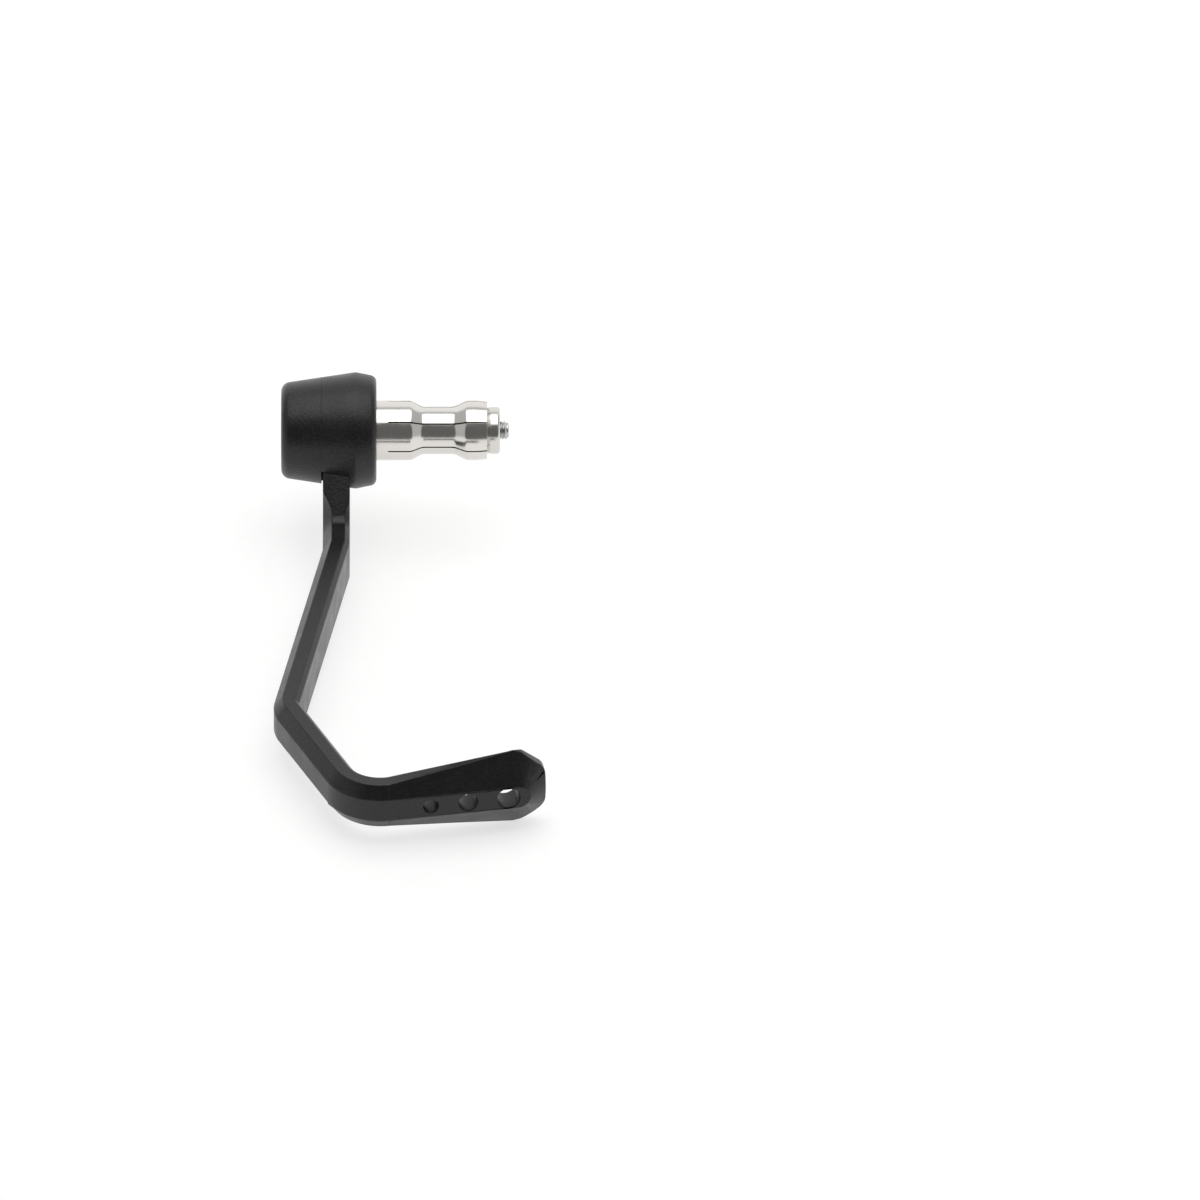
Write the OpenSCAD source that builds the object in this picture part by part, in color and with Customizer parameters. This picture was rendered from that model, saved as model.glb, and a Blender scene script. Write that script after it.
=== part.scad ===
// Brake lever guard for the right-hand end of a handlebar.
// A forward arm is clamped between the two halves of a bar-end bobbin, and a slotted
// expander sleeve, drawn open by a cone nut, holds the whole guard in the bore of the bar.
// Origin on the bar axis at the bobbin's inner face, X inward along the bar, Y rearward, Z up.
// Lengths in millimetres, angles in degrees.

/* [Bobbin] */
// Length of the outer cap, up to the parting line
cap_l = 10.5; // [9.6:0.1:12]
// Radius of the widest edge, before it is rounded
apex_r = 15.2; // [14.5:0.1:18]
// Distance of the widest edge from the inner face
apex_x = 5.4; // [4.5:0.1:6.5]
// Taper of the bobbin towards the outer end
outer_taper = 8.5; // [5:0.5:11]
// Taper of the bobbin towards the grip
inner_taper = 11.3; // [6:0.1:15]
// Radius of the round at the outer face
outer_round = 2.5; // [1:0.1:3]
// Radius of the round at the inner face
inner_round = 1.8; // [0.8:0.1:2.4]
// Radius of the round along the widest edge
apex_round = 3; // [1:0.5:6]
// Wall of the inner bobbin between the arm and the grip
web_l = 6.9; // [6:0.1:8]

/* [Expander] */
// Diameter of the two lands that grip the bore of the bar
sleeve_d = 15.7; // [14.6:0.1:17.4]
// Diameter of the waist between the lands
waist_d = 12.5; // [11.8:0.1:13.5]
// Length of the first land, from the bobbin
land_l = 9.1; // [6:0.1:10]
// Distance from the bobbin to the start of the waist
waist_x = 12; // [11:0.1:13]
// Length of the waist
waist_l = 8.3; // [6:0.1:10]
// Length of the cone from the waist to the second land
shoulder_l = 3.2; // [2:0.1:4]
// Length of the second land
grip_l = 2.8; // [2:0.1:4]
// Length of the slightly tapered mouth
mouth_l = 2.6; // [2:0.1:4]
// Diameter at the open end of the mouth
mouth_d = 15.1; // [14.2:0.1:15.4]
// Bore of the split part
sleeve_bore_d = 9.4; // [8.8:0.1:9.8]
// Diameter of the spigot that centres the sleeve in the bobbin
spigot_d = 12; // [10:0.1:13]
// Length of that spigot, which rests on the bottom of its bore
spigot_l = 3; // [2:0.1:4]
// Depth of the chamfer round the mouth of that bore
spigot_lead = 0.6; // [0.3:0.1:1.5]
// Width of the saw cuts between the fingers
slit_w = 0.4; // [0.3:0.05:0.8]
// Distance from the bobbin to the start of the saw cuts
slit_x = 3.1; // [2.5:0.1:6]
// Number of fingers
finger_n = 6; // [4:1:8]
// Angle of the first saw cut from straight up, towards the rear
slit_turn = 20; // [0:1:60]

/* [Cone nut] */
// Diameter of the nut outside the sleeve
nut_d = 12.3; // [11.6:0.1:13]
// Diameter of its small end inside the sleeve
nose_d = 9.2; // [8.4:0.1:9.2]
// Length of the cone
cone_l = 6; // [5:0.1:7]
// Length of the cone that stands out of the sleeve
cone_out = 1; // [0.4:0.1:2]
// Length of the cylinder behind the cone
nut_l = 2.35; // [1.5:0.05:4]
// Radius of the round on the outer edge
nut_round = 0.8; // [0.3:0.1:1.2]

/* [Clamp bolt] */
// Outer diameter of the thread and shank
bolt_d = 4.9; // [4.5:0.1:5.4]
// Length of the thread that stands out of the nut
bolt_out = 2.25; // [1:0.05:5]
// Chamfer at the end of the thread
bolt_lead = 0.7; // [0.3:0.1:1]
// Diameter of the socket head
head_d = 8.5; // [8:0.1:9]
// Height of the socket head
head_h = 5; // [4:0.1:5.4]
// Round on the rim of the head
head_round = 0.5; // [0.2:0.1:1]
// Width across flats of the key socket
key_w = 4; // [3:0.5:5]
// Depth of the key socket
key_l = 2.6; // [1.5:0.1:3]
// Thickness of the washer under the head
washer_t = 1; // [0.5:0.1:1.2]
// Diameter of the washer
washer_d = 9.2; // [8.8:0.1:9.6]
// Depth of the head below the outer face
head_sink = 0.5; // [0.2:0.1:1]

/* [Arm section] */
// Thickness of the arm, across its outer and inner sides
arm_w = 7; // [6:0.1:7.2]
// Height of the arm
arm_h = 13.2; // [11:0.1:16]
// Height of the flat strip on the outer side
strip_h = 6.4; // [5:0.1:8]
// Depth of the outer chamfers for each millimetre of their height
bevel_slope = 0.7; // [0.5:0.05:0.8]
// Width of the chamfers on the inner side
inner_bevel = 1.25; // [0.6:0.05:1.8]

/* [Arm neck] */
// Half the width of the neck and of its eye
neck_r = 6.55; // [6:0.05:7]
// Radius of the rounds at the rear end of the eye
eye_round = 5.6; // [3:0.1:5.8]
// Distance of the top of the arm below the bar axis
arm_drop = 13.2; // [12:0.1:16]
// Radius of the fillet between neck and arm
neck_fillet = 4; // [2:0.5:6]
// Length over which the lower chamfers run out on the neck
runout_l = 9; // [6:0.5:12]

/* [Arm path] */
// Distance of the first bend in front of the bar axis
bend_y = 30.4; // [29:0.1:36]
// Outward turn of the upper run
splay = 10; // [0:0.5:16]
// Length of the upper run
upper_l = 74.1; // [50:0.1:90]
// Inward turn of the lower run
lower_turn = 25.2; // [15:0.1:35]
// Length of the lower run, to the sharp corner at its end
lower_l = 45.8; // [38:0.1:60]
// Inward turn of the tip
tip_turn = 100.1; // [90:0.1:110]
// Outer radius of the knee between the two runs
knee_r = 15; // [8:0.5:30]
// Outer radius of the bend before the tip
bend_r = 15.3; // [12:0.1:20]

/* [Tip] */
// Length of the tip, from the end of the bend
tip_l = 41.3; // [40:0.1:50]
// Flare of the tip, above and below
flare = 7.7; // [2:0.1:9]
// Length over which the tip flares
flare_l = 34.3; // [32:0.1:36]
// Angle of the cut corners
corner_cut = 39; // [25:1:45]
// Radius of the rounds beside the cut corners
tip_round = 4; // [1:0.5:5]
// Length of the flat strip, from the end of the bend to its round end
strip_l = 36.7; // [35:0.1:38]
// Distance of the first hole from the end of the bend
hole_y = 10.6; // [6:0.1:14]
// Distance from the first hole to the second
hole_gap = 9.8; // [8:0.1:10.4]
// Distance from the second hole to the third
hole_gap_2 = 10.6; // [8:0.1:11]
// Diameter of the first hole
hole_d = 4; // [3:0.1:4.6]
// Growth in diameter from hole to hole
hole_step = 1; // [0:0.1:1.2]

/* [Fits] */
// Gap round the bolt
bolt_fit = 0.25; // [0.1:0.05:0.4]
// Gap between the thread and the nut
thread_fit = 0.05; // [0.02:0.01:0.1]
// Gap beside the neck in its slot
neck_fit = 0.2; // [0.1:0.05:0.4]
// Gap between the arm and the parting line, bridged by the boss of the cap
clamp_gap = 0.4; // [0.2:0.05:0.6]
// Gap round the spigot
spigot_fit = 0.05; // [0.02:0.01:0.1]
// Gap between cone and sleeve
cone_fit = 0.05; // [0.02:0.01:0.1]
// Gap round the bolt head
head_fit = 0.6; // [0.4:0.05:0.8]

/* [Hidden] */
$fn = 96;
black = [0.09, 0.09, 0.095];
steel = [0.78, 0.77, 0.75];
bolt_steel = [0.7, 0.7, 0.7];
// Overrun of a cutter past the face that it opens
over = 2;
// A round is this much larger than one that only touches its faces, so that it meets them cleanly
round_slack = 1.002;

// Stations along the bar
arm_in_x = -web_l;
arm_out_x = arm_in_x - arm_w;
parting_x = arm_out_x - clamp_gap;
outer_x = parting_x - cap_l;
head_x = outer_x + head_sink;
washer_x = head_x + head_h;
seat_x = washer_x + washer_t;
shoulder_x = waist_x + waist_l;
grip_x = shoulder_x + shoulder_l;
mouth_x = grip_x + grip_l;
sleeve_x = mouth_x + mouth_l;
cone_x = sleeve_x + cone_out;
nose_x = cone_x - cone_l;
nut_x = cone_x + nut_l;
bolt_x = nut_x + bolt_out;

// Arm section, measured from the middle of its height
half_h = arm_h / 2;
half_strip = strip_h / 2;
bevel_h = half_h - half_strip;
bevel_w = bevel_slope * bevel_h;
arm_mid_z = -arm_drop - half_h;
bolt_hole_r = bolt_d / 2 + bolt_fit;

// Way along a run that is turned inwards from straight ahead, and the way across it
function ahead(turn) = [sin(turn), -cos(turn)];
function inward(turn) = [cos(turn), sin(turn)];
// Inner corner that faces an outer corner p where the turn changes
function inner_corner(p, t1, t2) =
    p + arm_w * (inward(t1) + inward(t2)) / (1 + inward(t1) * inward(t2));
// Line across the arm from outer corner p to inner corner q, drawn out past both sides
function across(p, q) =
    [p - over * (q - p) / norm(q - p), q + over * (q - p) / norm(q - p)];

// Sharp corners of the outer side, seen from above
bend_p = [arm_out_x, -bend_y];
knee_p = bend_p + upper_l * ahead(-splay);
tip_p = knee_p + lower_l * ahead(lower_turn);
bend_q = inner_corner(bend_p, 0, -splay);
knee_q = inner_corner(knee_p, -splay, lower_turn);
bend_t = bend_r * tan((tip_turn - lower_turn) / 2);
bend_c = tip_p - bend_t * ahead(lower_turn) + bend_r * inward(lower_turn);
lower_end = bend_c - bend_r * inward(lower_turn);
tip_start = bend_c - bend_r * inward(tip_turn);

// Neck in side view, as distance forward and height; it falls at 45 degrees
neck_edge = neck_r * sqrt(2);
arm_top = -arm_drop;
arm_bottom = -arm_drop - arm_h;
fillet_c = [neck_edge + neck_fillet * sqrt(2) - arm_top - neck_fillet, arm_top + neck_fillet];
heel = [-neck_edge - arm_bottom, arm_bottom];

// Point on the far side of q from p, a fifth of their distance on
function past(p, q) = q + (q - p) / 5;

// What a round of radius r takes off the corner p between the ways to a and to b
module corner_trim(p, a, b, r) {
    u = (a - p) / norm(a - p);
    v = (b - p) / norm(b - p);
    half = acos(u * v) / 2;
    middle = (u + v) / norm(u + v);
    centre = p + middle * r / sin(half);
    start = p + u * r / tan(half);
    end = p + v * r / tan(half);
    difference() {
        polygon([p - middle * r, past(centre, start), centre, past(centre, end)]);
        translate(centre) circle(r * round_slack);
    }
}

// Solid of revolution round the bar axis; its outline is radius and distance along X
module turned() {
    rotate([0, 90, 0]) rotate_extrude() children();
}

// Plate from a side view, given as distance forward and height, that ends at to_x
module side_plate(to_x, thick) {
    translate([to_x, 0, 0]) rotate([90, 0, -90]) linear_extrude(thick) children();
}

// Bore round the bar axis
module bore(from_x, to_x, r) {
    translate([from_x, 0, 0]) rotate([0, 90, 0]) cylinder(r = r, h = to_x - from_x);
}

// Outline of the whole bobbin, which the parting line divides
module bobbin_outline() {
    apex = [apex_r, -apex_x];
    outer_edge = [apex_r + (outer_x + apex_x) * tan(outer_taper), outer_x];
    inner_edge = [apex_r - apex_x * tan(inner_taper), 0];
    difference() {
        polygon([[0, outer_x], outer_edge, apex, inner_edge, [0, 0]]);
        corner_trim(outer_edge, [0, outer_x], apex, outer_round);
        corner_trim(inner_edge, [0, 0], apex, inner_round);
        corner_trim(apex, outer_edge, inner_edge, apex_round);
    }
}

module outer_cap() {
    color(black) difference() {
        union() {
            turned() intersection() {
                bobbin_outline();
                translate([0, outer_x]) square([apex_r * 2, cap_l]);
            }
            bore(parting_x, arm_out_x, neck_r - neck_fit);
        }
        bore(outer_x - over, seat_x, head_d / 2 + head_fit);
        bore(seat_x - over, arm_out_x + over, bolt_hole_r);
    }
}

// Slot for the neck, in side view, open below in front
module slot_outline() {
    edge = (neck_r + neck_fit) * sqrt(2);
    reach = apex_r * 2;
    top = [0, edge];
    rear = [-edge, 0];
    difference() {
        polygon([top, rear, rear + [reach, -reach], top + [reach, -reach]]);
        corner_trim(top, rear, top + [reach, -reach], eye_round + neck_fit);
        corner_trim(rear, top, rear + [reach, -reach], eye_round + neck_fit);
    }
}

// Bore that takes the spigot; its chamfer ends just clear of the sleeve
module spigot_seat() {
    bore_r = spigot_d / 2 + spigot_fit;
    mouth_r = sleeve_d / 2 + spigot_fit;
    polygon([[0, -spigot_l], [bore_r, -spigot_l], [bore_r, -spigot_lead], [mouth_r, 0],
        [mouth_r, over], [0, over]]);
}

module inner_bobbin() {
    color(black) difference() {
        turned() intersection() {
            bobbin_outline();
            translate([0, parting_x]) square([apex_r * 2, -parting_x]);
        }
        side_plate(arm_in_x, arm_in_x - parting_x + over) slot_outline();
        bore(arm_in_x - over, over, bolt_hole_r);
        turned() spigot_seat();
    }
}

// Section of the arm: outer side at 0, inner side at arm_w, height from the middle
module arm_section() {
    polygon([
        [0, -half_strip], [bevel_w, -half_h],
        [arm_w - inner_bevel, -half_h], [arm_w, inner_bevel - half_h],
        [arm_w, half_h - inner_bevel], [arm_w - inner_bevel, half_h],
        [bevel_w, half_h], [0, half_strip]
    ]);
}

// Straight run from p, cut by the lines of its two mitres as seen from above
module run(p, turn, length, first, last) {
    intersection() {
        translate([p[0], p[1], 0]) rotate([0, 0, turn]) translate([0, over * 4, 0])
            rotate([90, 0, 0]) linear_extrude(length + over * 8) arm_section();
        translate([0, 0, -arm_h]) linear_extrude(arm_h * 2)
            polygon([first[0], last[0], last[1], first[1]]);
    }
}

// Round bend between the lower run and the tip
module tip_bend() {
    translate([bend_c[0], bend_c[1], 0]) rotate([0, 0, 180 + lower_turn])
        rotate_extrude(angle = tip_turn - lower_turn)
            translate([bend_r, 0]) mirror([1, 0]) arm_section();
}

// Shape that the outer side has round the knee, wider than the arm inside its chamfers
module knee_round() {
    full_r = knee_r * round_slack;
    reach = full_r - bevel_w - over * bevel_slope;
    edge = knee_r * tan((lower_turn + splay) / 2);
    start = knee_p - edge * ahead(-splay);
    end = knee_p + edge * ahead(lower_turn);
    centre = start + knee_r * inward(-splay);
    difference() {
        translate([0, 0, -half_h - over]) linear_extrude(arm_h + over * 2)
            polygon([past(centre, start), past(centre, knee_p), past(centre, end), centre]);
        translate([centre[0], centre[1], 0]) rotate_extrude() polygon([
            [0, -half_h - over], [reach, -half_h - over], [full_r, -half_strip],
            [full_r, half_strip], [reach, half_h + over], [0, half_h + over]
        ]);
    }
}

// Outline of the tip in front view: flared, with cut and rounded corners
module tip_outline() {
    flare_h = half_h + flare_l * tan(flare);
    end_h = flare_h - (tip_l - flare_l) * tan(corner_cut);
    difference() {
        polygon([[0, -half_h], [flare_l, -flare_h], [tip_l, -end_h],
            [tip_l, end_h], [flare_l, flare_h], [0, half_h]]);
        for (side = [-1, 1]) {
            corner_trim([flare_l, side * flare_h], [0, side * half_h],
                [tip_l, side * end_h], tip_round);
            corner_trim([tip_l, side * end_h], [flare_l, side * flare_h],
                [tip_l, 0], tip_round);
        }
    }
}

// Tip along its own way: across from 0 to arm_w, forward along -Y, height from the middle
module tip() {
    full_h = half_strip + arm_w / bevel_slope;
    round_y = strip_l - half_strip;
    difference() {
        intersection() {
            rotate([90, 0, 90]) mirror([1, 0, 0]) linear_extrude(arm_w) tip_outline();
            union() {
                rotate([90, 0, 0]) linear_extrude(round_y)
                    polygon([[0, -half_strip], [arm_w, -full_h], [arm_w, full_h], [0, half_strip]]);
                translate([0, -round_y, 0]) rotate([0, 90, 0])
                    cylinder(r1 = half_strip, r2 = full_h, h = arm_w);
            }
        }
        for (side = [0, 1]) mirror([0, 0, side]) translate([arm_w, 0, half_h])
            rotate([-flare, 0, 0]) rotate([90, 0, 0]) translate([0, 0, -over])
                linear_extrude(tip_l + over * 2)
                    polygon([[over, over], [-inner_bevel - over, over], [over, -inner_bevel - over]]);
        for (i = [0:2]) {
            y = hole_y + min(i, 1) * hole_gap + max(i - 1, 0) * hole_gap_2;
            translate([-over, -y, 0]) rotate([0, 90, 0])
                cylinder(d = hole_d + i * hole_step, h = arm_w + over * 2);
        }
    }
}

// Neck in side view, with its eye, fillet and heel
module neck_outline() {
    top_corner = [neck_edge - arm_top, arm_top];
    eye_top = [0, neck_edge];
    eye_rear = [-neck_edge, 0];
    difference() {
        union() {
            polygon([eye_top, eye_rear, heel,
                [fillet_c[0], arm_bottom], [fillet_c[0], arm_top], top_corner]);
            corner_trim(top_corner, [fillet_c[0], arm_top], eye_top, neck_fillet);
        }
        corner_trim(eye_top, eye_rear, top_corner, eye_round);
        corner_trim(eye_rear, eye_top, heel, eye_round);
    }
}

// Cutter for a chamfer of width w and height h on the lower corner of a side at 0
module bevel_cutter(w, h) {
    polygon([[-w / 2, h * 1.5], [w * 1.5, -h / 2], [-w / 2, -h / 2]]);
}

// The two cutters of the arm's section, for an edge that lies at height 0
module bevel_pair() {
    translate([arm_out_x, 0]) bevel_cutter(bevel_w, bevel_h);
    translate([arm_in_x, 0]) mirror([1, 0]) bevel_cutter(inner_bevel, inner_bevel);
}

// Neck behind the straight part of the arm. The upper chamfers follow the fillet and leave
// the neck on its radius, and the lower ones slope out of it.
module neck() {
    fillet_end = 45 + acos(neck_fillet / (neck_fillet + bevel_h)) + over;
    slope = 45 - atan(bevel_h / runout_l);
    difference() {
        side_plate(arm_in_x, arm_w) neck_outline();
        translate([0, -fillet_c[0], fillet_c[1]]) rotate([0, 90, 0])
            rotate_extrude(angle = fillet_end)
                translate([neck_fillet, 0]) mirror([1, -1]) bevel_pair();
        translate([0, 0, arm_bottom]) rotate([90, 0, 0])
            linear_extrude(fillet_c[0] + over) bevel_pair();
        translate([0, -heel[0], arm_bottom]) rotate([90 + slope, 0, 0])
            translate([0, 0, -runout_l * 2]) linear_extrude(runout_l * 3) bevel_pair();
    }
}

module guard_arm() {
    neck_end = [arm_out_x, -fillet_c[0]];
    neck_line = across(neck_end, neck_end + arm_w * inward(0));
    bend_line = across(bend_p, bend_q);
    knee_line = across(knee_p, knee_q);
    lower_line = across(lower_end, lower_end + arm_w * inward(lower_turn));
    color(black) difference() {
        union() {
            neck();
            translate([0, 0, arm_mid_z]) {
                run(neck_end, 0, bend_y - fillet_c[0], neck_line, bend_line);
                difference() {
                    run(bend_p, -splay, upper_l, bend_line, knee_line);
                    knee_round();
                }
                difference() {
                    run(knee_p, lower_turn, lower_l, knee_line, lower_line);
                    knee_round();
                }
                tip_bend();
                translate([tip_start[0], tip_start[1], 0]) rotate([0, 0, tip_turn]) tip();
            }
        }
        bore(arm_out_x - over, arm_in_x + over, bolt_hole_r);
    }
}

module sleeve_outline() {
    cone_slope = (nut_d - nose_d) / 2 / cone_l;
    mouth_bore_r = nose_d / 2 + (sleeve_x - nose_x) * cone_slope + cone_fit;
    bore_r = sleeve_bore_d / 2;
    step_x = sleeve_x - (mouth_bore_r - bore_r) / cone_slope;
    polygon([
        [bolt_hole_r, -spigot_l], [spigot_d / 2, -spigot_l], [spigot_d / 2, 0],
        [sleeve_d / 2, 0], [sleeve_d / 2, land_l], [waist_d / 2, waist_x],
        [waist_d / 2, shoulder_x], [sleeve_d / 2, grip_x], [sleeve_d / 2, mouth_x],
        [mouth_d / 2, sleeve_x], [mouth_bore_r, sleeve_x], [bore_r, step_x],
        [bore_r, slit_x], [bolt_hole_r, slit_x]
    ]);
}

module expander_sleeve() {
    color(steel) difference() {
        turned() sleeve_outline();
        for (i = [0:finger_n - 1]) rotate([-slit_turn - i * 360 / finger_n, 0, 0])
            translate([slit_x, -slit_w / 2, 0])
                cube([sleeve_x - slit_x + over, slit_w, sleeve_d]);
    }
}

module cone_nut() {
    rim = [nut_d / 2, nut_x];
    hole_r = bolt_d / 2 + thread_fit;
    color(steel) turned() difference() {
        polygon([[hole_r, nose_x], [nose_d / 2, nose_x], [nut_d / 2, cone_x], rim,
            [hole_r, nut_x]]);
        corner_trim(rim, [nut_d / 2, cone_x], [0, nut_x], nut_round);
    }
}

module clamp_bolt() {
    shank_r = bolt_d / 2;
    rim = [head_d / 2, head_x];
    color(bolt_steel) difference() {
        turned() difference() {
            polygon([[0, head_x], rim, [head_d / 2, washer_x], [shank_r, washer_x],
                [shank_r, bolt_x - bolt_lead], [shank_r - bolt_lead, bolt_x], [0, bolt_x]]);
            corner_trim(rim, [0, head_x], [head_d / 2, washer_x], head_round);
        }
        translate([head_x - over, 0, 0]) rotate([0, 90, 0])
            cylinder(d = key_w / cos(30), h = key_l + over, $fn = 6);
    }
}

module head_washer() {
    color(bolt_steel) difference() {
        bore(washer_x, seat_x, washer_d / 2);
        bore(washer_x - over, seat_x + over, bolt_hole_r);
    }
}

outer_cap();
inner_bobbin();
guard_arm();
expander_sleeve();
cone_nut();
clamp_bolt();
head_washer();
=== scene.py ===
"""Looks of a brake lever guard: a clamped bar-end bobbin, a bent arm and a bright expander."""

import logging
import math
from dataclasses import dataclass
from enum import Enum

import bpy
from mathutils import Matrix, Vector


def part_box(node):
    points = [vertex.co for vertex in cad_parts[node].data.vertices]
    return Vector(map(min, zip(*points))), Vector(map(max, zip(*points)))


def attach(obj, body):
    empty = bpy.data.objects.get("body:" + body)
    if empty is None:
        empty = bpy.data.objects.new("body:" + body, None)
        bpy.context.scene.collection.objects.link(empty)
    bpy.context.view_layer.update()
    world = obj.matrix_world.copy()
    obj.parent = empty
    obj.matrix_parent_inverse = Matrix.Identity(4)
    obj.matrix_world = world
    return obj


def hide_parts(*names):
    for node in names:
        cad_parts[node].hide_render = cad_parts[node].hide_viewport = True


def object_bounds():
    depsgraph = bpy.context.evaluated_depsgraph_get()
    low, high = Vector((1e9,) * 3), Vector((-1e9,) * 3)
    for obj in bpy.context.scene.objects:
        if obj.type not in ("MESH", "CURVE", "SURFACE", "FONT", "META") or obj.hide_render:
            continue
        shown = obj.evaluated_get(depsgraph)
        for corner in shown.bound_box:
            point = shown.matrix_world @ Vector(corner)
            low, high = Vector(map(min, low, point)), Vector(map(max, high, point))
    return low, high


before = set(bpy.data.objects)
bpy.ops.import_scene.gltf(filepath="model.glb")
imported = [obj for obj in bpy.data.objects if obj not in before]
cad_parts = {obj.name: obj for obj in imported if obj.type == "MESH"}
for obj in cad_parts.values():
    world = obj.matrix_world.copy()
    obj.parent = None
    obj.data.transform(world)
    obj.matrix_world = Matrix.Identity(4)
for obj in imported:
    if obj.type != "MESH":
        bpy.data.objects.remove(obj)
CAD_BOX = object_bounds()

MM = 0.001
CLOSE = 0.02 * MM
BODY = "root"
# Nearly all values of a noise texture lie between these two
NOISE_LOW = 0.3
NOISE_HIGH = 0.7
log = logging.getLogger("lever_guard")


# Helpers for materials


def srgb(code: str) -> tuple[float, float, float, float]:
    """Turn an sRGB hex colour into a linear one.

    Args:
        code: six hex digits.

    Returns:
        Linear red, green, blue and an alpha of 1.
    """
    parts = [int(code[i : i + 2], 16) / 255 for i in (0, 2, 4)]
    linear = [p / 12.92 if p <= 0.04045 else ((p + 0.055) / 1.055) ** 2.4 for p in parts]
    return (*linear, 1.0)


def per_metre(size_mm: float) -> float:
    """Texture scale for a pattern whose feature is size_mm across on Object coordinates."""
    return 1.0 / (size_mm * MM)


def add_node(
    tree: bpy.types.NodeTree,
    kind: str,
    settings: dict[str, object] | None = None,
    inputs: dict[str, object] | None = None,
) -> bpy.types.Node:
    """Add a node, set it up and link its inputs.

    Args:
        tree: the node tree that gets it.
        kind: the node's type name.
        settings: attributes of the node.
        inputs: values or output sockets for its inputs, by name.

    Returns:
        The new node.
    """
    node = tree.nodes.new(kind)
    for name, value in (settings or {}).items():
        setattr(node, name, value)
    for name, value in (inputs or {}).items():
        socket = node.inputs[int(name[1:])] if name.startswith("#") else node.inputs[name]
        if isinstance(value, bpy.types.NodeSocket):
            tree.links.new(value, socket)
        else:
            socket.default_value = value
    return node


def ramp(
    tree: bpy.types.NodeTree,
    factor: bpy.types.NodeSocket,
    stops: list[tuple[float, tuple[float, float, float, float]]],
) -> bpy.types.NodeSocket:
    """Add a colour ramp.

    Args:
        tree: the node tree that gets it.
        factor: what drives the ramp.
        stops: positions with linear colours.

    Returns:
        The colour output.
    """
    node = add_node(tree, "ShaderNodeValToRGB", inputs={"Fac": factor})
    while len(node.color_ramp.elements) < len(stops):
        node.color_ramp.elements.new(0.5)
    for element, (position, colour) in zip(node.color_ramp.elements, stops):
        element.position = position
        element.color = colour
    return node.outputs["Color"]


def grey(value: float) -> tuple[float, float, float, float]:
    """Linear grey with an alpha of 1."""
    return (value, value, value, 1.0)


def noise(
    tree: bpy.types.NodeTree,
    where: bpy.types.NodeSocket,
    size_mm: float,
    octaves: float = 2.0,
    harshness: float = 0.5,
) -> bpy.types.NodeSocket:
    """Add a noise texture.

    Args:
        tree: the node tree that gets it.
        where: the place that it is read at.
        size_mm: how large its features are.
        octaves: how much finer detail it has.
        harshness: how strong that detail is.

    Returns:
        Its value.
    """
    inputs = {
        "Vector": where,
        "Scale": per_metre(size_mm),
        "Detail": octaves,
        "Roughness": harshness,
    }
    return add_node(tree, "ShaderNodeTexNoise", inputs=inputs).outputs["Fac"]


def spread(
    tree: bpy.types.NodeTree, value: bpy.types.NodeSocket, low: float, high: float
) -> bpy.types.NodeSocket:
    """Map the usual values of a noise texture onto a range.

    Args:
        tree: the node tree that gets the mapping.
        value: the noise.
        low: what its low values become.
        high: what its high values become.

    Returns:
        The mapped value.
    """
    inputs = {
        "Value": value,
        "From Min": NOISE_LOW,
        "From Max": NOISE_HIGH,
        "To Min": low,
        "To Max": high,
    }
    return add_node(tree, "ShaderNodeMapRange", inputs=inputs).outputs["Result"]


def relief(
    tree: bpy.types.NodeTree, height: bpy.types.NodeSocket, strength: float, depth_mm: float
) -> bpy.types.NodeSocket:
    """Add a bump.

    Args:
        tree: the node tree that gets it.
        height: its height, from 0 to 1.
        strength: how much of it shows.
        depth_mm: how deep it is.

    Returns:
        The bumped normal.
    """
    inputs = {"Height": height, "Strength": strength, "Distance": depth_mm * MM}
    return add_node(tree, "ShaderNodeBump", inputs=inputs).outputs["Normal"]


def new_material(name: str) -> tuple[bpy.types.Material, bpy.types.NodeTree, bpy.types.Node]:
    """Start a node material.

    Args:
        name: the material's name.

    Returns:
        The material, its tree and its Principled shader.
    """
    material = bpy.data.materials.new(name)
    material.use_nodes = True
    tree = material.node_tree
    tree.nodes.clear()
    shader = add_node(tree, "ShaderNodeBsdfPrincipled")
    add_node(tree, "ShaderNodeOutputMaterial", inputs={"Surface": shader.outputs["BSDF"]})
    return material, tree, shader


# Finishes


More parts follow.
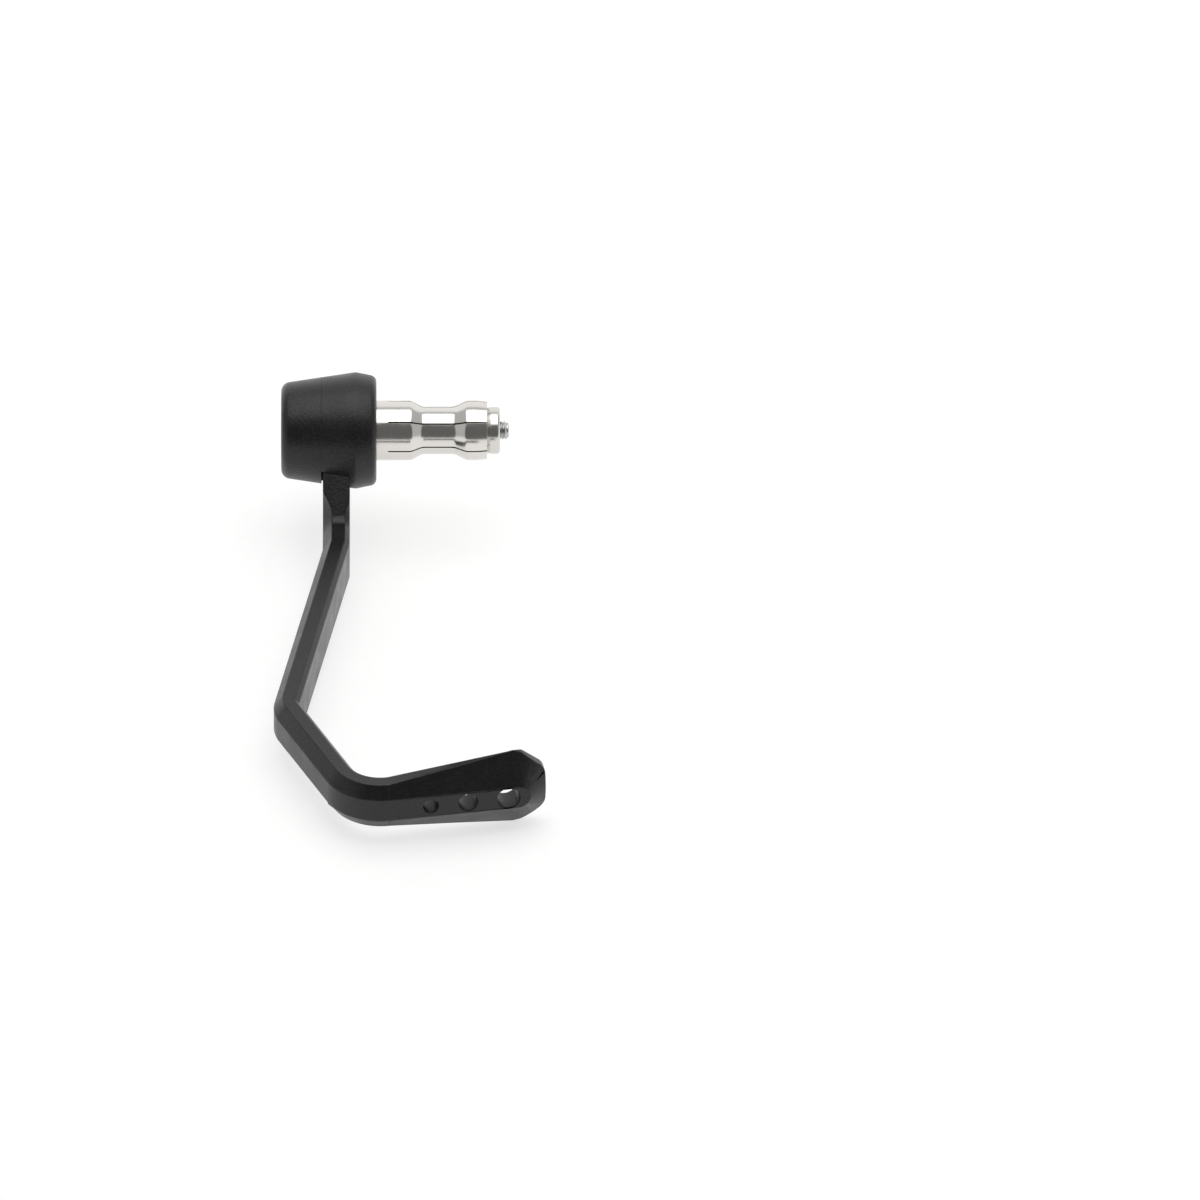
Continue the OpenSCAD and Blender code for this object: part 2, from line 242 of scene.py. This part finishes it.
@dataclass(frozen=True)
class MouldedNylon:
    """Glass-filled nylon (PA6-GF30), moulded in a spark-eroded tool.

    The eye sees a nearly black, satin surface with a fine sandy grain that breaks up every
    highlight, and a slightly uneven gloss where the glass lies close under the skin.
    """

    name: str
    colour: str = "111112"
    fleck: str = "212122"
    fleck_from: float = 0.45
    fleck_full: float = 0.68
    roughness: float = 0.35
    glossier: float = 0.04
    duller: float = 0.05
    refraction: float = 1.46
    grain_mm: float = 0.6  # real grain is about 0.1 mm; drawn coarser so that it shows
    grain_depth_mm: float = 0.1  # real grain is about 0.02 mm deep; as much deeper
    grain_octaves: float = 3.0
    grain_harshness: float = 0.6
    grain_strength: float = 0.8
    cloud_mm: float = 6.0

    def build(self) -> bpy.types.Material:
        """Build the material and return it."""
        material, tree, shader = new_material(self.name)
        where = add_node(tree, "ShaderNodeTexCoord").outputs["Object"]
        grain = noise(tree, where, self.grain_mm, self.grain_octaves, self.grain_harshness)
        cloud = noise(tree, where, self.cloud_mm)
        stops = [(self.fleck_from, srgb(self.colour)), (self.fleck_full, srgb(self.fleck))]
        uneven = spread(tree, cloud, self.roughness - self.glossier, self.roughness + self.duller)
        bump = relief(tree, grain, self.grain_strength, self.grain_depth_mm)
        shader.inputs["IOR"].default_value = self.refraction
        tree.links.new(ramp(tree, grain, stops), shader.inputs["Base Color"])
        tree.links.new(uneven, shader.inputs["Roughness"])
        tree.links.new(bump, shader.inputs["Normal"])
        return material


@dataclass(frozen=True)
class TurnedMetal:
    """Bare metal turned on a lathe, its axis along X.

    The eye sees bright, sharp reflections drawn out a little across the turning marks, with
    faint rings round the piece.
    """

    name: str
    colour: str
    roughness: float
    ring_mm: float = 0.3  # real feed marks are about 0.08 mm apart; drawn coarser to show
    ring_depth_mm: float = 0.0015
    ring_strength: float = 0.4
    ring_drift: float = 0.02  # how fast the rings change across the axis, of their rate along it
    smudge_mm: float = 4.0
    glossiest: float = 0.85
    dullest: float = 1.2

    def build(self) -> bpy.types.Material:
        """Build the material and return it."""
        material, tree, shader = new_material(self.name)
        where = add_node(tree, "ShaderNodeTexCoord").outputs["Object"]
        drawn_out = (1.0, self.ring_drift, self.ring_drift)
        along = add_node(
            tree, "ShaderNodeMapping", inputs={"Vector": where, "Scale": drawn_out}
        ).outputs["Vector"]
        rings = noise(tree, along, self.ring_mm)
        smudge = noise(tree, where, self.smudge_mm)
        low, high = self.roughness * self.glossiest, self.roughness * self.dullest
        uneven = spread(tree, smudge, low, high)
        bump = relief(tree, rings, self.ring_strength, self.ring_depth_mm)
        shader.inputs["Metallic"].default_value = 1.0
        shader.inputs["Base Color"].default_value = srgb(self.colour)
        tree.links.new(uneven, shader.inputs["Roughness"])
        tree.links.new(bump, shader.inputs["Normal"])
        return material


@dataclass(frozen=True)
class PaperSweep:
    """Matt white paper under the guard, with a barely visible tooth."""

    name: str = "paper_sweep"
    colour: str = "b0b0af"
    shade: str = "adadac"
    tooth_mm: float = 3.0
    roughness: float = 0.9
    gloss: float = 0.1
    glow: float = 0.67

    def build(self) -> bpy.types.Material:
        """Build the material and return it."""
        material, tree, shader = new_material(self.name)
        where = add_node(tree, "ShaderNodeTexCoord").outputs["Object"]
        tooth = noise(tree, where, self.tooth_mm)
        stops = [(NOISE_LOW, srgb(self.shade)), (NOISE_HIGH, srgb(self.colour))]
        tree.links.new(ramp(tree, tooth, stops), shader.inputs["Base Color"])
        shader.inputs["Roughness"].default_value = self.roughness
        shader.inputs["Specular IOR Level"].default_value = self.gloss
        shader.inputs["Emission Color"].default_value = grey(1.0)
        shader.inputs["Emission Strength"].default_value = self.glow
        return material


class Coat(Enum):
    """The finishes that the guard uses, each with its material slot in the record."""

    BOBBIN = ("bobbin", MouldedNylon("moulded_nylon_bobbin"))
    ARM = ("arm", MouldedNylon("moulded_nylon_arm", roughness=0.33))
    SLEEVE = ("sleeve", TurnedMetal("turned_aluminium_sleeve", "dddad5", 0.17))
    NUT = ("nut", TurnedMetal("turned_aluminium_nut", "d6d3cf", 0.2))
    BOLT = ("bolt", TurnedMetal("zinc_plated_steel", "c4c4c2", 0.24))

    @property
    def slot(self) -> str:
        """Material slot in the record."""
        return self.value[0]

    def material(self) -> bpy.types.Material:
        """The finish's material, built at its first use."""
        found = bpy.data.materials.get(self.value[1].name)
        return found or self.value[1].build()


# Helpers for pieces


def only(piece: bpy.types.Object) -> None:
    """Deselect everything, then select one object and make it active."""
    bpy.ops.object.select_all(action="DESELECT")
    piece.select_set(True)
    bpy.context.view_layer.objects.active = piece


def apply_all(piece: bpy.types.Object) -> None:
    """Apply every modifier of a piece, in order."""
    only(piece)
    for modifier in list(piece.modifiers):
        bpy.ops.object.modifier_apply(modifier=modifier.name)


def dress(piece: bpy.types.Object, coat: Coat) -> None:
    """Give a piece its finish and its body, and log its material slot."""
    piece.data.materials.clear()
    piece.data.materials.append(coat.material())
    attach(piece, BODY)
    log.info("%s: %d faces, %s", piece.name, len(piece.data.polygons), coat.slot)


@dataclass
class SoftenedSolid:
    """A solid of the frame with its edges broken, as a moulded or machined piece has them.

    Attributes:
        node: the CAD node that it stands for.
        name: the name of the new piece.
        edge_mm: how wide its edges are broken.
        sharp_deg: edges steeper than this are broken.
        shoulders_mm: where along X its turned shoulders stand.
        shoulder_mm: how far their rounding reaches to each side.
        shoulder_segments: how many faces that rounding has.
        smooth_deg: edges flatter than this are shaded smooth.
        segments: how many faces a broken edge has.
        merge_mm: vertices closer than this are one.
        flat_deg: faces that meet flatter than this are one.
        inside_mm: what lies closer to the bar axis than this has no shoulder.
    """

    node: str
    name: str
    edge_mm: float
    sharp_deg: float = 20.0
    shoulders_mm: tuple[float, ...] = ()
    shoulder_mm: float = 0.55
    shoulder_segments: int = 5
    smooth_deg: float = 14.0
    segments: int = 3
    merge_mm: float = 0.002
    flat_deg: float = 0.3
    inside_mm: float = 6.2

    def build(self, coat: Coat) -> bpy.types.Object:
        """Build the piece in place of its node.

        Args:
            coat: its finish.

        Returns:
            The new piece.
        """
        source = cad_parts[self.node]
        piece = bpy.data.objects.new(self.name, source.data.copy())
        bpy.context.scene.collection.objects.link(piece)
        only(piece)
        bpy.ops.object.mode_set(mode="EDIT")
        bpy.ops.mesh.select_all(action="SELECT")
        bpy.ops.mesh.remove_doubles(threshold=self.merge_mm * MM)
        bpy.ops.mesh.dissolve_limited(
            angle_limit=math.radians(self.flat_deg), use_dissolve_boundaries=False
        )
        bpy.ops.object.mode_set(mode="OBJECT")
        for shoulder in self.shoulders_mm:
            self.round_shoulder(piece, shoulder * MM)
        if "custom_normal" in piece.data.attributes:
            piece.data.attributes.remove(piece.data.attributes["custom_normal"])
        bevel = piece.modifiers.new("edges", "BEVEL")
        bevel.width = self.edge_mm * MM
        bevel.segments = self.segments
        bevel.limit_method = "ANGLE"
        bevel.angle_limit = math.radians(self.sharp_deg)
        bevel.use_clamp_overlap = False
        bevel.miter_outer = "MITER_ARC"
        bevel.harden_normals = True
        bpy.ops.object.shade_smooth_by_angle(angle=math.radians(self.smooth_deg))
        apply_all(piece)
        dress(piece, coat)
        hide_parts(self.node)
        return piece

    def round_shoulder(self, piece: bpy.types.Object, place: float) -> None:
        """Round the outer edge that runs round the bar axis at one place.

        Args:
            piece: the piece, in object mode.
            place: where the edge stands along X, in metres.
        """
        bpy.ops.object.mode_set(mode="EDIT")
        bpy.ops.mesh.select_all(action="DESELECT")
        bpy.ops.object.mode_set(mode="OBJECT")
        vertices = piece.data.vertices
        for edge in piece.data.edges:
            ends = [vertices[i].co for i in edge.vertices]
            edge.select = all(
                abs(end.x - place) < CLOSE and math.hypot(end.y, end.z) > self.inside_mm * MM
                for end in ends
            )
        log.info("%s: %d edges rounded", piece.name, sum(e.select for e in piece.data.edges))
        bpy.ops.object.mode_set(mode="EDIT")
        bpy.ops.mesh.bevel(
            offset=self.shoulder_mm * MM, segments=self.shoulder_segments, affect="EDGES"
        )
        bpy.ops.object.mode_set(mode="OBJECT")


# Sub-assemblies


@dataclass
class Bobbin:
    """The tapered bobbin in two halves, clamped on the arm."""

    cap_edge_mm: float = 0.07
    inner_edge_mm: float = 0.07

    def build(self) -> None:
        """Build both halves."""
        SoftenedSolid("outer_cap", "bobbin_outer_cap", self.cap_edge_mm).build(Coat.BOBBIN)
        SoftenedSolid("inner_bobbin", "bobbin_inner_half", self.inner_edge_mm).build(Coat.BOBBIN)


@dataclass
class Arm:
    """The bent arm, one moulded piece from its eye to its drilled tip."""

    edge_mm: float = 0.3
    sharp_deg: float = 14.0

    def build(self) -> None:
        """Build the arm."""
        arm = SoftenedSolid("guard_arm", "bent_guard_arm", self.edge_mm, self.sharp_deg)
        arm.build(Coat.ARM)


@dataclass
class BoltThread:
    """The rolled M5 thread where the clamp bolt stands out of the nut.

    Attributes:
        crest_mm: radius of the crests, which is that of the shank.
        root_mm: radius of the roots.
        pitch_mm: pitch of the thread.
        lead_mm: chamfer at the end of the bolt.
        hidden_mm: how far inside the nut the teeth start.
        sunk_mm: how deep the teeth stand in the necked-down end.
        tooth_share: width of a tooth at its root, of the pitch.
        crest_share: width of its crest, of the width at its root.
        steps_per_turn: how many steps a turn has.
        smooth_deg: edges flatter than this are shaded smooth.
    """

    crest_mm: float = 2.45
    root_mm: float = 2.03
    pitch_mm: float = 0.8
    lead_mm: float = 0.7
    hidden_mm: float = 1.2
    sunk_mm: float = 0.05
    tooth_share: float = 0.92
    crest_share: float = 0.16
    steps_per_turn: int = 48
    smooth_deg: float = 25.0

    def build(self, bolt: bpy.types.Object) -> None:
        """Cut the bolt's end down to the roots and wind the thread on it.

        Args:
            bolt: the softened bolt.
        """
        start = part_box("cone_nut")[1].x - self.hidden_mm * MM
        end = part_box("clamp_bolt")[1].x
        self.neck_down(bolt, start)
        turns = math.ceil((end - start) / (self.pitch_mm * MM))
        thread = self.wind(start, turns)
        self.trim(thread, end)
        dress(thread, Coat.BOLT)

    def neck_down(self, bolt: bpy.types.Object, start: float) -> None:
        """Bring the bolt's end down to the root radius.

        Args:
            bolt: the softened bolt.
            start: where the thread starts along X, in metres.
        """
        only(bolt)
        bpy.ops.object.mode_set(mode="EDIT")
        bpy.ops.mesh.select_all(action="SELECT")
        bpy.ops.mesh.bisect(plane_co=(start, 0.0, 0.0), plane_no=(1.0, 0.0, 0.0))
        bpy.ops.mesh.select_all(action="DESELECT")
        bpy.ops.object.mode_set(mode="OBJECT")
        for vertex in bolt.data.vertices:
            vertex.select = vertex.co.x > start - CLOSE
        bpy.ops.object.mode_set(mode="EDIT")
        share = self.root_mm / self.crest_mm
        bpy.ops.transform.resize(value=(1.0, share, share), center_override=(0.0, 0.0, 0.0))
        bpy.ops.object.mode_set(mode="OBJECT")

    def wind(self, start: float, turns: int) -> bpy.types.Object:
        """Wind the tooth round the bar axis.

        Args:
            start: where the first tooth stands along X, in metres.
            turns: how many turns it makes.

        Returns:
            The thread.
        """
        deep = (self.crest_mm - self.root_mm + self.sunk_mm) * MM
        wide = self.pitch_mm * self.tooth_share * MM
        middle = self.crest_mm * MM - deep / 2
        bpy.ops.object.select_all(action="DESELECT")
        bpy.ops.mesh.primitive_plane_add(
            size=wide, location=(start, 0.0, middle), rotation=(math.pi / 2, 0.0, 0.0)
        )
        thread = bpy.context.object
        thread.name = "bolt_thread"
        bpy.ops.object.transform_apply(location=True, rotation=True, scale=True)
        bpy.ops.object.mode_set(mode="EDIT")
        bpy.ops.transform.resize(
            value=(1.0, 1.0, deep / wide), center_override=(start, 0.0, middle)
        )
        bpy.ops.mesh.select_all(action="DESELECT")
        bpy.ops.object.mode_set(mode="OBJECT")
        for vertex in thread.data.vertices:
            vertex.select = vertex.co.z > middle
        bpy.ops.object.mode_set(mode="EDIT")
        bpy.ops.transform.resize(
            value=(self.crest_share, 1.0, 1.0), center_override=(start, 0.0, middle)
        )
        bpy.ops.mesh.select_all(action="SELECT")
        bpy.ops.mesh.delete(type="ONLY_FACE")
        bpy.ops.object.mode_set(mode="OBJECT")
        screw = thread.modifiers.new("helix", "SCREW")
        screw.axis = "X"
        screw.angle = math.tau * turns
        screw.screw_offset = self.pitch_mm * MM * turns
        screw.steps = screw.render_steps = self.steps_per_turn * turns
        apply_all(thread)
        bpy.ops.object.mode_set(mode="EDIT")
        bpy.ops.mesh.select_all(action="SELECT")
        bpy.ops.mesh.fill_holes(sides=4)
        bpy.ops.mesh.normals_make_consistent(inside=False)
        bpy.ops.object.mode_set(mode="OBJECT")
        bpy.ops.object.shade_smooth_by_angle(angle=math.radians(self.smooth_deg))
        return thread

    def trim(self, thread: bpy.types.Object, end: float) -> None:
        """Bring the last teeth down to the chamfer at the bolt's end.

        Args:
            thread: the wound thread.
            end: where the bolt ends along X, in metres.
        """
        for vertex in thread.data.vertices:
            place = vertex.co
            place.x = min(place.x, end - CLOSE)
            reach = math.hypot(place.y, place.z)
            allowed = (self.crest_mm - self.lead_mm) * MM + (end - place.x)
            if reach > allowed:
                place.y *= allowed / reach
                place.z *= allowed / reach


@dataclass
class Expander:
    """The bright sleeve, its cone nut, the clamp bolt and the washer.

    Attributes:
        shoulders_mm: ends of the first land, the waist and the second cone along X.
        sleeve_edge_mm: how wide the sleeve's edges are broken.
        sleeve_sharp_deg: edges of the sleeve steeper than this are broken.
        nut_edge_mm: how wide the nut's edges are broken.
        bolt_edge_mm: how wide the edges of bolt and washer are broken.
    """

    shoulders_mm: tuple[float, ...] = (9.1, 12.0, 20.3, 23.5)
    sleeve_edge_mm: float = 0.05
    sleeve_sharp_deg: float = 30.0
    nut_edge_mm: float = 0.15
    bolt_edge_mm: float = 0.1

    def build(self) -> None:
        """Build the expander's pieces."""
        sleeve = SoftenedSolid(
            "expander_sleeve",
            "slotted_sleeve",
            self.sleeve_edge_mm,
            self.sleeve_sharp_deg,
            self.shoulders_mm,
        )
        sleeve.build(Coat.SLEEVE)
        SoftenedSolid("cone_nut", "draw_in_cone_nut", self.nut_edge_mm).build(Coat.NUT)
        bolt = SoftenedSolid("clamp_bolt", "socket_head_bolt", self.bolt_edge_mm).build(Coat.BOLT)
        BoltThread().build(bolt)
        SoftenedSolid("head_washer", "washer", self.bolt_edge_mm).build(Coat.BOLT)


# Studio


@dataclass
class Studio:
    """Pale paper floor, soft light and the photograph's camera.

    The camera stands in front of the tip and looks back and down on the guard, from far away
    through a long lens.

    Attributes:
        aim_mm: the point in the middle of the picture.
        down_deg: how steeply the camera looks down.
        width_mm: how much the picture shows across.
        lens_mm: the camera's focal length.
        sensor_mm: the width of its sensor.
        far_m: where its sight ends.
        backdrop: brightness of the surround behind the guard.
        sides: brightness beside and over it.
        dim: brightness on the camera's side.
        dim_up_deg: how high the middle of the dim side stands.
        backdrop_ends: where the backdrop fades into the sides, from 0 behind the guard to 1.
        dim_starts: where the sides fade into the dim side, on the same scale.
        lamp_at: middle of the soft box, in metres.
        lamp_size: its two sides, in metres.
        lamp_watts: its power.
        floor_size: side of the paper, in metres.
        floor_gap_mm: how far the paper lies under the lowest point.
    """

    aim_mm: tuple[float, float, float] = (58.3, -48.6, -19.8)
    down_deg: float = 35.27
    width_mm: float = 312.0
    lens_mm: float = 1200.0
    sensor_mm: float = 36.0
    far_m: float = 30.0
    backdrop: float = 1.05
    sides: float = 0.55
    dim: float = 0.14
    dim_up_deg: float = 22.0
    backdrop_ends: tuple[float, float] = (0.27, 0.33)
    dim_starts: tuple[float, float] = (0.83, 0.88)
    lamp_at: tuple[float, float, float] = (0.03, 0.036, 0.62)
    lamp_size: tuple[float, float] = (0.6, 0.66)
    lamp_watts: float = 2.0
    floor_size: float = 6.0
    floor_gap_mm: float = 0.05

    def build(self) -> None:
        """Build floor, light and camera."""
        bpy.context.scene.view_settings.view_transform = "Standard"
        self.make_camera()
        self.make_world()
        self.make_lamp()
        self.make_floor()

    def in_front(self, up_deg: float) -> Vector:
        """Unit vector from the guard to the front.

        Args:
            up_deg: how high it points.

        Returns:
            The vector.
        """
        up = math.radians(up_deg)
        return Vector((0.0, -math.cos(up), math.sin(up)))

    def make_camera(self) -> None:
        """Make the camera at the photograph's angle and framing."""
        data = bpy.data.cameras.new("camera")
        data.lens = self.lens_mm
        data.sensor_width = self.sensor_mm
        data.clip_end = self.far_m
        camera = bpy.data.objects.new("camera", data)
        bpy.context.scene.collection.objects.link(camera)
        reach = self.width_mm * MM * self.lens_mm / self.sensor_mm
        camera.location = Vector(self.aim_mm) * MM + self.in_front(self.down_deg) * reach
        camera.rotation_euler = (math.radians(90 - self.down_deg), 0.0, 0.0)
        bpy.context.scene.camera = camera

    def make_world(self) -> None:
        """Make a bright surround with the dim side that the camera stands on."""
        world = bpy.data.worlds.new("surround")
        bpy.context.scene.world = world
        world.use_nodes = True
        tree = world.node_tree
        tree.nodes.clear()
        way = add_node(tree, "ShaderNodeTexCoord").outputs["Generated"]
        turned = add_node(
            tree,
            "ShaderNodeVectorMath",
            {"operation": "DOT_PRODUCT"},
            {"#0": way, "#1": self.in_front(self.dim_up_deg)},
        ).outputs["Value"]
        reach = add_node(
            tree,
            "ShaderNodeMapRange",
            inputs={"Value": turned, "From Min": -1.0, "From Max": 1.0},
        ).outputs["Result"]
        colour = ramp(
            tree,
            reach,
            [
                (0.0, grey(self.backdrop)),
                (self.backdrop_ends[0], grey(self.backdrop)),
                (self.backdrop_ends[1], grey(self.sides)),
                (self.dim_starts[0], grey(self.sides)),
                (self.dim_starts[1], grey(self.dim)),
            ],
        )
        back = add_node(tree, "ShaderNodeBackground", inputs={"Color": colour, "Strength": 1.0})
        add_node(tree, "ShaderNodeOutputWorld", inputs={"Surface": back.outputs["Background"]})

    def make_lamp(self) -> None:
        """Hang a rectangular soft box above the guard, facing down."""
        data = bpy.data.lights.new("overhead_box", "AREA")
        data.shape = "RECTANGLE"
        data.size, data.size_y = self.lamp_size
        data.energy = self.lamp_watts
        lamp = bpy.data.objects.new("overhead_box", data)
        bpy.context.scene.collection.objects.link(lamp)
        lamp.location = self.lamp_at

    def make_floor(self) -> None:
        """Lay the paper under the lowest point of the guard."""
        height = CAD_BOX[0][2] - self.floor_gap_mm * MM
        bpy.ops.object.select_all(action="DESELECT")
        bpy.ops.mesh.primitive_plane_add(size=self.floor_size, location=(0.0, 0.0, height))
        floor = bpy.context.object
        floor.name = "paper_floor"
        floor.data.materials.append(PaperSweep().build())


def main() -> None:
    """Build the guard and the studio round it."""
    logging.basicConfig(level=logging.INFO, format="%(name)s: %(message)s")
    Studio().build()
    Bobbin().build()
    Arm().build()
    Expander().build()


if __name__ == "__main__":
    main()
